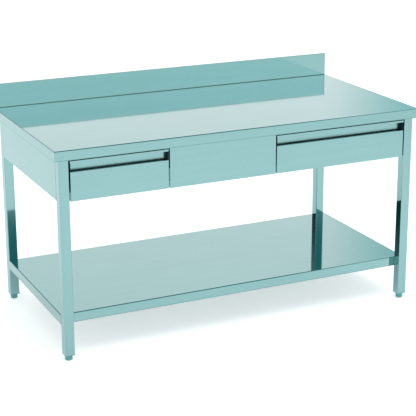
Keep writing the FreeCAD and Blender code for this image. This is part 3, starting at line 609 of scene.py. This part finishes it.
def build_runner_balls(drawer):
    """Ball rows and the cages that hold them, inside both runners of a drawer."""
    runner = bpy.context.scene.worktable_runner
    rows = []
    cages = []
    for side in SIDES:
        face, sign = runner_side(drawer, side)
        fixed_low, fixed_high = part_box("%s_drawer_runner_fixed_%s" % (drawer, side))
        middle_low, middle_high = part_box("%s_drawer_runner_middle_%s" % (drawer, side))
        moving_low, moving_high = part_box("%s_drawer_runner_moving_%s" % (drawer, side))
        centre_z = (fixed_low.z + fixed_high.z) / 2
        fixed_depth = fixed_high.x - fixed_low.x
        middle_start = min(abs(middle_low.x - face), abs(middle_high.x - face))
        middle_end = max(abs(middle_low.x - face), abs(middle_high.x - face))
        moving_start = min(abs(moving_low.x - face), abs(moving_high.x - face))
        length = fixed_high.y - fixed_low.y
        ends = runner.cage_margin
        outer = {
            "half": ((fixed_high.z - fixed_low.z) / 2 - runner.member_wall
                     + (middle_high.z - middle_low.z) / 2) / 2,
            "depth": (middle_start + fixed_depth) / 2,
            "web": middle_start - runner.cage_wall - runner.cage_gap,
            "from": fixed_high.y - length / 2 + ends,
            "to": fixed_high.y - ends,
        }
        inner = {
            "half": ((middle_high.z - middle_low.z) / 2 - runner.member_wall
                     + (moving_high.z - moving_low.z) / 2) / 2,
            "depth": (moving_start + middle_end) / 2,
            "web": middle_start + runner.member_wall + runner.cage_wall,
            "from": fixed_low.y + ends,
            "to": fixed_low.y + length / 2 - ends,
        }
        for cage in (outer, inner):
            x = face + sign * cage["depth"]
            first = cage["from"] + runner.ball_pitch
            last = cage["to"] - runner.ball_pitch
            for height in (cage["half"], -cage["half"]):
                rows.append(((x, first, centre_z + height), (x, last, centre_z + height)))
            outline = cage_profile(cage["web"], cage["depth"] + runner.ball_diameter / 2,
                                   cage["half"], runner.cage_wall)
            cages.append(prism(
                [(face + sign * depth, centre_z + height) for depth, height in outline],
                cage["from"], cage["to"], lambda y, corner: (corner[0], y, corner[1])))
    body = "runner_middles_" + drawer
    balls = run_tree(line_mesh(rows), ball_row_tree(), {
        "Pitch": runner.ball_pitch, "Ball Diameter": runner.ball_diameter,
        "Material": turned_steel()})
    keep("runner_balls_" + drawer, balls, body)
    keep("runner_cages_" + drawer, joined(cages), body, zinc_plate())


def build_grip_shade_caps(drawer):
    """Black caps that close both ends of a drawer's folded grip; they stand in for the shade
    inside the open ends of the recess.
    """
    grip = bpy.context.scene.worktable_grip
    low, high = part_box(drawer + "_drawer_grip")
    wall = grip.grip_wall
    front, back = low.y + wall, high.y - wall
    floor = low.z + grip.hem
    roof = high.z - wall
    lip = high.z - grip.lip
    outline = [(front, floor), (back, floor), (back, roof), (front, roof), (front, lip)]
    caps = [prism(outline, start, start + grip.cap_thickness, lambda x, corner: (x, *corner))
            for start in (low.x, high.x - grip.cap_thickness)]
    keep("grip_shade_caps_" + drawer, joined(caps), "drawer_" + drawer, black_rubber())


def build_threaded_stud(corner):
    """Levelling stud with its ball foot and its thread, in the place of the plain CAD stud."""
    foot = bpy.context.scene.worktable_foot
    node = "foot_stud_" + corner
    low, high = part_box(node)
    centre = ((low.x + high.x) / 2, (low.y + high.y) / 2)
    foot_radius = (high.x - low.x) / 2
    crest = foot.stud_diameter / 2
    root = crest - foot.thread_depth
    neck = low.z + foot.ball_height
    chamfer = foot.thread_depth
    ball = foot.ball_height * 0.3
    core = turned_mesh([
        (foot_radius - ball, low.z), (foot_radius - ball * 0.3, low.z + ball * 0.3),
        (foot_radius, low.z + ball), (foot_radius, neck - ball),
        (foot_radius - ball * 0.3, neck - ball * 0.3), (foot_radius - ball, neck),
        (root, neck), (root, high.z - chamfer), (root - chamfer, high.z)], centre)
    lead = foot.thread_pitch
    run = high.z - neck - 2 * lead - chamfer
    thread = run_tree(line_mesh([]), thread_tree(), {
        "Root Diameter": 2 * root, "Ridge Depth": foot.thread_depth, "Pitch": lead,
        "Length": run, "Material": turned_steel()})
    for vertex in thread.vertices:
        vertex.co += Vector((centre[0], centre[1], neck + lead))
    core.polygons.foreach_set("use_smooth", [True] * len(core.polygons))
    stud = keep("threaded_stud_" + corner, joined([core, thread]), "stud_" + corner,
                turned_steel())
    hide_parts(node)


def build_spot_welds():
    """Spot welds that hold the channels under the shelf."""
    weld = bpy.context.scene.worktable_weld
    rows = []
    for side in DRAWERS:
        low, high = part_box("shelf_channel_" + side)
        inset = weld.row_inset
        for x in (low.x + inset, high.x - inset):
            rows.append(((x, low.y + weld.pitch / 2, high.z - weld.sheet),
                         (x, high.y - weld.pitch / 2, high.z - weld.sheet)))
    spots = run_tree(line_mesh(rows), spot_row_tree(), {
        "Pitch": weld.pitch, "Spot Diameter": weld.diameter, "Spot Height": weld.height,
        "Material": welded_steel()})
    return keep("shelf_spot_welds", spots, "frame")


# ---------------------------------------------------------------- settings

def length(name, description, default):
    return bpy.props.FloatProperty(name=name, description=description, default=default,
                                   min=0.0, precision=5, unit="LENGTH")


def share(name, description, default):
    return bpy.props.FloatProperty(name=name, description=description, default=default,
                                   min=0.0, max=1.0, subtype="FACTOR")


def paint(name, description, default):
    return bpy.props.FloatVectorProperty(name=name, description=description, default=default,
                                         min=0.0, max=1.0, size=3, subtype="COLOR")


class SteelSettings(bpy.types.PropertyGroup):
    """Colours and gloss of the metals."""
    satin_colour: paint("Satin Sheet", "Colour of the visible sheet", (0.228, 0.39, 0.394))
    satin_roughness: share("Satin Roughness", "How blurred the visible sheet reflects", 0.055)
    skin: length("Worktop Sheet", "Sheet of the worktop", 0.0015)
    # Colour and width of the painted dark lines: a painted reflection along the folds and painted
    # shade along the hems.
    painted_line_colour: paint("Fold Colour", "Colour of the dark marks along the folds",
                       (0.04, 0.15, 0.155))
    painted_line_width: length("Fold Marks", "Width of the dark marks along the folds", 0.004)
    grip_roughness: share("Grip Roughness", "How blurred the brushed grips reflect", 0.24)
    grain_width: length("Grain Width", "Width of one grain line of the visible sheet", 0.0012)
    mill_colour: paint("Mill Sheet", "Colour of the hidden sheet", (0.26, 0.40, 0.405))
    mill_roughness: share("Mill Roughness", "How blurred the hidden sheet reflects", 0.32)
    zinc_colour: paint("Zinc", "Colour of plated steel and bolts", (0.50, 0.63, 0.64))


class BoardSettings(bpy.types.PropertyGroup):
    """Colours of the board, the plastic and the rubber."""
    chip_colour: paint("Chips", "Colour of the particle board", (0.33, 0.36, 0.31))
    plastic_colour: paint("Plastic", "Colour of inserts and glides", (0.085, 0.27, 0.27))
    rubber_colour: paint("Rubber", "Colour of the buffers and grip caps", (0.003, 0.024, 0.026))


class RunnerSettings(bpy.types.PropertyGroup):
    """Sizes of the balls and cages in the drawer runners."""
    ball_diameter: length("Ball Diameter", "Balls between two runner members", 0.0026)
    ball_pitch: length("Ball Pitch", "From one ball to the next", 0.008)
    cage_wall: length("Cage Wall", "Sheet of the ball cages", 0.0005)
    cage_gap: length("Cage Gap", "Outer cage's web to the middle member", 0.00013)
    cage_margin: length("Cage Margin", "Middle member's end to the cage", 0.01)
    member_wall: length("Member Wall", "Sheet of the runner members", 0.0012)


class GripSettings(bpy.types.PropertyGroup):
    """Sizes of the black caps at the ends of the grips, which stand in for the shade there."""
    grip_wall: length("Grip Sheet", "Sheet of the folded grip", 0.0012)
    hem: length("Hem", "Lower edge of the grip's hem to the floor of the recess", 0.007)
    lip: length("Lip", "Height of the lip above the recess", 0.008)
    cap_thickness: length("Cap Thickness", "Thickness of a cap", 0.002)


class FootSettings(bpy.types.PropertyGroup):
    """Sizes of the levelling studs."""
    stud_diameter: length("Stud Diameter", "Outer diameter of the thread", 0.0096)
    ball_height: length("Ball Foot", "Height of the foot held in the glide", 0.005)
    thread_pitch: length("Thread Pitch", "From one thread crest to the next", 0.0015)
    thread_depth: length("Thread Depth", "Crest to root", 0.0007)


class WeldSettings(bpy.types.PropertyGroup):
    """Sizes of the spot welds."""
    pitch: length("Pitch", "From one spot to the next", 0.055)
    diameter: length("Diameter", "Diameter of a spot", 0.0055)
    height: length("Height", "How far a spot stands proud", 0.0003)
    row_inset: length("Row Inset", "Edge of a channel's lip to its row of spots", 0.0075)
    sheet: length("Channel Sheet", "Sheet of the welded channel", 0.0012)


class StageSettings(bpy.types.PropertyGroup):
    """Floor, lights and camera."""
    floor_colour: paint("Floor", "Colour of the floor", (0.862, 0.857, 0.857))
    floor_glow: share("Floor Glow", "Light that comes through the floor", 0.51)
    # Painted shade: the floor's glow is dimmer near the table.
    painted_floor_shade: share("Floor Rise", "How much brighter the floor is away from the table", 0.12)
    floor_radius: length("Floor Radius", "Reach of the floor", 40.0)
    sky_low: paint("Studio Walls", "Colour of the bright walls round the studio",
                   (1.0, 0.99, 0.99))
    sky_high: paint("Studio Ceiling", "Colour of the dimmer ceiling", (0.55, 0.63, 0.63))
    sky_top: paint("Studio Skylight", "Colour of the skylight straight above", (0.8, 0.84, 0.84))
    flag_front: paint("Front Flag", "Colour of the flag ahead of the table", (0.10, 0.40, 0.41))
    flag_rear: paint("Rear Flag", "Colour of the flag behind the table", (0.005, 0.07, 0.075))
    flag_side: paint("Side Flag", "Colour of the flag past the right end", (0.36, 0.66, 0.66))
    sky_strength: bpy.props.FloatProperty(name="Studio Light", min=0.0, default=1.3,
                                          description="Strength of walls and ceiling")
    window_gain: share("Front Window", "Extra light from the window in the front wall", 0.71)
    lamp_power: bpy.props.FloatProperty(name="Overhead Lamp", subtype="POWER", min=0.0,
                                        default=30.0, description="Power of the soft lamp")
    lens: bpy.props.FloatProperty(name="Lens", description="Focal length in millimetres",
                                  default=111.8, min=10.0)


# ---------------------------------------------------------------- operators

class WORKTABLE_OT_worktop(bpy.types.Operator):
    """Finish the folded worktop, its backsplash ends, its core board and its channels"""
    bl_idname = "worktable.worktop"
    bl_label = "Worktop"

    def execute(self, context):
        coat(["worktop"], satin_stainless("x", "worktop"))
        coat(nodes_with("backsplash_end"), satin_stainless("x"))
        coat(["core_board"], particle_board())
        coat(nodes_with("top_channel"), mill_stainless())
        return {"FINISHED"}


class WORKTABLE_OT_frame(bpy.types.Operator):
    """Finish the legs, the aprons and the fixed front panel"""
    bl_idname = "worktable.frame"
    bl_label = "Legs and Aprons"

    def execute(self, context):
        coat(["leg_" + corner for corner in CORNERS], satin_stainless("z"))
        coat(nodes_with("side_apron"), satin_stainless("y"))
        coat(["rear_apron", "front_panel"], satin_stainless("x"))
        return {"FINISHED"}


class WORKTABLE_OT_drawers(bpy.types.Operator):
    """Finish the drawers, their hangers and buffers, and cap the ends of the grips with black
    caps that stand in for the shade there
    """
    bl_idname = "worktable.drawers"
    bl_label = "Drawers"

    def execute(self, context):
        coat(nodes_with("drawer_front"), satin_stainless("x"))
        coat(nodes_with("drawer_grip"), satin_stainless("x", "brushed"))
        coat(nodes_with("drawer_box"), satin_stainless("y"))
        coat(nodes_with("drawer_hanger"), mill_stainless())
        coat(["drawer_buffers"], black_rubber())
        for drawer in DRAWERS:
            build_grip_shade_caps(drawer)
        return {"FINISHED"}


class WORKTABLE_OT_runners(bpy.types.Operator):
    """Finish the runner members and put balls and cages between them"""
    bl_idname = "worktable.runners"
    bl_label = "Runners"

    def execute(self, context):
        coat(nodes_with("drawer_runner"), zinc_plate())
        for drawer in DRAWERS:
            build_runner_balls(drawer)
        return {"FINISHED"}


class WORKTABLE_OT_shelf(bpy.types.Operator):
    """Finish the undershelf and weld its channels"""
    bl_idname = "worktable.shelf"
    bl_label = "Undershelf"

    def execute(self, context):
        coat(["undershelf"], satin_stainless("x", "undershelf"))
        coat(nodes_with("shelf_channel") + ["shelf_brackets"], mill_stainless())
        build_spot_welds()
        return {"FINISHED"}


class WORKTABLE_OT_feet(bpy.types.Operator):
    """Finish the inserts and glides and cut the threads of the studs"""
    bl_idname = "worktable.feet"
    bl_label = "Feet"

    def execute(self, context):
        coat(nodes_with("leg_insert") + nodes_with("foot_glide"), moulded_plastic())
        for corner in CORNERS:
            build_threaded_stud(corner)
        return {"FINISHED"}


class WORKTABLE_OT_fasteners(bpy.types.Operator):
    """Finish the bolts, screws and rivets"""
    bl_idname = "worktable.fasteners"
    bl_label = "Fasteners"

    def execute(self, context):
        coat(["apron_bolts", "shelf_bolts", "worktop_screws", "runner_screws"]
             + nodes_with("drawer_rivets"), turned_steel())
        return {"FINISHED"}


class WORKTABLE_OT_stage(bpy.types.Operator):
    """Make the floor, the soft light and the camera"""
    bl_idname = "worktable.stage"
    bl_label = "Stage"

    def execute(self, context):
        build_floor()
        build_studio()
        build_lamp()
        build_camera()
        return {"FINISHED"}


# ---------------------------------------------------------------- stage

# Distances from the middle of the floor where its glow starts to rise and stops rising; the
# dimmer glow inside is painted shade round the table.
GLOW_RISES = (0.8, 3.0)
LAMP_PLACE = (0.6, -1.2, 2.8)
LAMP_LENGTH = 2.4
LAMP_WIDTH = 2.0
CAMERA_PLACE = (-2.231, -4.804, 2.097)
# Degrees that the camera looks down and turns to the right.
CAMERA_DROP = 16.58
CAMERA_TURN = 25.79
CAMERA_SHIFT = (-0.04, -0.06)


def build_floor():
    """A round pale floor that glows faintly, as a lit table of white plastic does, with its glow
    dimmed near the table as painted shade.
    """
    stage = bpy.context.scene.worktable_stage
    maker = bmesh.new()
    bmesh.ops.create_circle(maker, cap_ends=True, segments=96, radius=stage.floor_radius)
    mesh = bpy.data.meshes.new("studio_floor")
    maker.to_mesh(mesh)
    maker.free()
    finish = new_finish("studio_floor")
    cloud = finish.noise(finish.place(), 1.1, 3.0, 0.5)
    colour = finish.blend(cloud, shade(stage.floor_colour, 0.99),
                          shade(stage.floor_colour, 1.01))
    apart = finish.node("VectorMath", {"operation": "LENGTH"}, {0: finish.place()})
    rise = finish.step(Value(finish, apart.outputs["Value"]), *GLOW_RISES)
    # Painted shade: the floor glows less near the table than farther out.
    near = tuple(part / (1.0 + stage.painted_floor_shade) for part in stage.floor_colour)
    glow = finish.blend(rise, near, stage.floor_colour)
    front = finish.node("BsdfPrincipled", {}, {
        "Base Color": colour, "Roughness": 0.9, "Specular IOR Level": 0.1,
        "Emission Color": glow,
        "Emission Strength": stage.floor_glow * (1.0 + stage.painted_floor_shade)})
    below = finish.node("BsdfTransparent", {}, {})
    side = finish.node("NewGeometry", {}, {})
    one_sided = finish.node("MixShader", {}, {
        0: side.outputs["Backfacing"], 1: front.outputs[0], 2: below.outputs[0]})
    finish.node("OutputMaterial", {}, {"Surface": one_sided.outputs[0]})
    mesh.materials.append(finish.owner)
    floor = bpy.data.objects.new("studio_floor", mesh)
    bpy.context.scene.collection.objects.link(floor)


# Dark flags on the studio walls: heading from the front towards the right end of the table
# and half width in degrees, lower and upper limit as the sine of their height above the
# horizon, and the setting that holds their colour.
STUDIO_FLAGS = (
    (23.5, 10.0, 0.30, 0.44, "flag_front"),
    (-144.3, 8.0, 0.23, 0.34, "flag_rear"),
    (125.0, 20.0, 0.19, 0.36, "flag_side"),
)
# Degrees over which a flag fades out at its sides, and its fade at the lower and upper edge.
FLAG_EDGE = 5.0
FLAG_FOOT = 0.02
FLAG_HEAD = (0.08, 0.04)
# Heights, as sines, between which the ceiling and the skylight begin.
CEILING_BEGINS = (0.50, 0.58)
SKYLIGHT_BEGINS = (0.86, 0.97)
# The window in the front wall: cosine from its middle, where it fades in and where it fades out.
WINDOW_SIDES = (0.70, 0.92)
WINDOW_FOOT = (0.13, 0.19)
WINDOW_HEAD = (0.31, 0.27)


def direction(heading):
    """A level direction, turned from the front of the table towards its right end."""
    angle = math.radians(heading)
    return (math.sin(angle), -math.cos(angle), 0.0)


def build_studio():
    """Bright walls all round with flags seen only in mirrors, a dimmer ceiling and a skylight."""
    stage = bpy.context.scene.worktable_stage
    world = bpy.data.worlds.new("studio")
    bpy.context.scene.world = world
    finish = Finish(world)
    towards = finish.node("TexCoord", {}, {}).outputs["Generated"]
    height = Value(finish, finish.node("SeparateXYZ", {}, {"Vector": towards}).outputs["Z"])
    flat = finish.node("VectorMath", {"operation": "MULTIPLY"}, {0: towards, 1: (1, 1, 0)})
    level = finish.node("VectorMath", {"operation": "NORMALIZE"}, {0: flat.outputs[0]})
    ceiling = finish.step(height, *CEILING_BEGINS)
    top = finish.blend(finish.step(height, *SKYLIGHT_BEGINS), stage.sky_high, stage.sky_top)
    colour = finish.blend(ceiling, stage.sky_low, top)
    ray = finish.node("LightPath", {}, {})
    mirrored = 1.0 - Value(finish, ray.outputs["Is Camera Ray"])
    for heading, width, low, high, setting in STUDIO_FLAGS:
        facing = finish.node("VectorMath", {"operation": "DOT_PRODUCT"},
                             {0: level.outputs[0], 1: direction(heading)})
        beside = finish.step(Value(finish, facing.outputs["Value"]),
                             math.cos(math.radians(width + FLAG_EDGE)),
                             math.cos(math.radians(width)))
        flag = (beside * finish.step(height, low - FLAG_FOOT, low + FLAG_FOOT)
                * finish.step(height, high + FLAG_HEAD[0], high - FLAG_HEAD[1]))
        colour = finish.blend(flag * mirrored, colour, getattr(stage, setting))
    ahead = finish.node("VectorMath", {"operation": "DOT_PRODUCT"},
                        {0: level.outputs[0], 1: direction(STUDIO_FLAGS[0][0])})
    window = (finish.step(Value(finish, ahead.outputs["Value"]), *WINDOW_SIDES)
              * finish.step(height, *WINDOW_FOOT) * finish.step(height, *WINDOW_HEAD))
    light = finish.node("Background", {}, {
        "Color": colour,
        "Strength": stage.sky_strength * (1.0 + window * stage.window_gain)})
    finish.node("OutputWorld", {}, {"Surface": light.outputs[0]})


def build_lamp():
    """A wide soft lamp overhead that lights the floor and isn't mirrored in the sheet."""
    stage = bpy.context.scene.worktable_stage
    data = bpy.data.lights.new("soft_overhead", "AREA")
    data.shape = "RECTANGLE"
    data.size = LAMP_LENGTH
    data.size_y = LAMP_WIDTH
    data.energy = stage.lamp_power
    lamp = bpy.data.objects.new("soft_overhead", data)
    lamp.location = LAMP_PLACE
    lamp.visible_camera = False
    lamp.visible_glossy = False
    bpy.context.scene.collection.objects.link(lamp)


def build_camera():
    """Camera at the front left, looking down on the table."""
    stage = bpy.context.scene.worktable_stage
    data = bpy.data.cameras.new("camera")
    data.lens = stage.lens
    data.sensor_width = 36.0
    data.shift_x, data.shift_y = CAMERA_SHIFT
    data.clip_end = 200.0
    camera = bpy.data.objects.new("camera", data)
    camera.location = CAMERA_PLACE
    camera.rotation_euler = (math.radians(90 - CAMERA_DROP), 0.0, math.radians(-CAMERA_TURN))
    bpy.context.scene.collection.objects.link(camera)
    bpy.context.scene.camera = camera
    bpy.context.scene.view_settings.view_transform = "Standard"


# ---------------------------------------------------------------- panel and main

OPERATORS = (WORKTABLE_OT_worktop, WORKTABLE_OT_frame, WORKTABLE_OT_drawers,
             WORKTABLE_OT_runners, WORKTABLE_OT_shelf, WORKTABLE_OT_feet,
             WORKTABLE_OT_fasteners, WORKTABLE_OT_stage)
SETTINGS = {
    "worktable_steel": SteelSettings,
    "worktable_board": BoardSettings,
    "worktable_runner": RunnerSettings,
    "worktable_grip": GripSettings,
    "worktable_foot": FootSettings,
    "worktable_weld": WeldSettings,
    "worktable_stage": StageSettings,
}


class WORKTABLE_PT_panel(bpy.types.Panel):
    """Settings and pieces of the work table"""
    bl_idname = "WORKTABLE_PT_panel"
    bl_label = "Work Table"
    bl_space_type = "VIEW_3D"
    bl_region_type = "UI"
    bl_category = "Work Table"

    def draw(self, context):
        for name, group in SETTINGS.items():
            section = self.layout.box()
            section.label(text=group.__doc__)
            for prop in group.__annotations__:
                section.prop(getattr(context.scene, name), prop)
        for operator in OPERATORS:
            self.layout.operator(operator.bl_idname)


def register():
    for group in SETTINGS.values():
        bpy.utils.register_class(group)
    for operator in OPERATORS:
        bpy.utils.register_class(operator)
    bpy.utils.register_class(WORKTABLE_PT_panel)
    for name, group in SETTINGS.items():
        setattr(bpy.types.Scene, name, bpy.props.PointerProperty(type=group))


def unregister():
    for name in SETTINGS:
        delattr(bpy.types.Scene, name)
    bpy.utils.unregister_class(WORKTABLE_PT_panel)
    for operator in reversed(OPERATORS):
        bpy.utils.unregister_class(operator)
    for group in reversed(tuple(SETTINGS.values())):
        bpy.utils.unregister_class(group)


def main():
    register()
    for operator in OPERATORS:
        name = operator.bl_idname.split(".")[1]
        getattr(bpy.ops.worktable, name)()


if __name__ == "__main__":
    main()
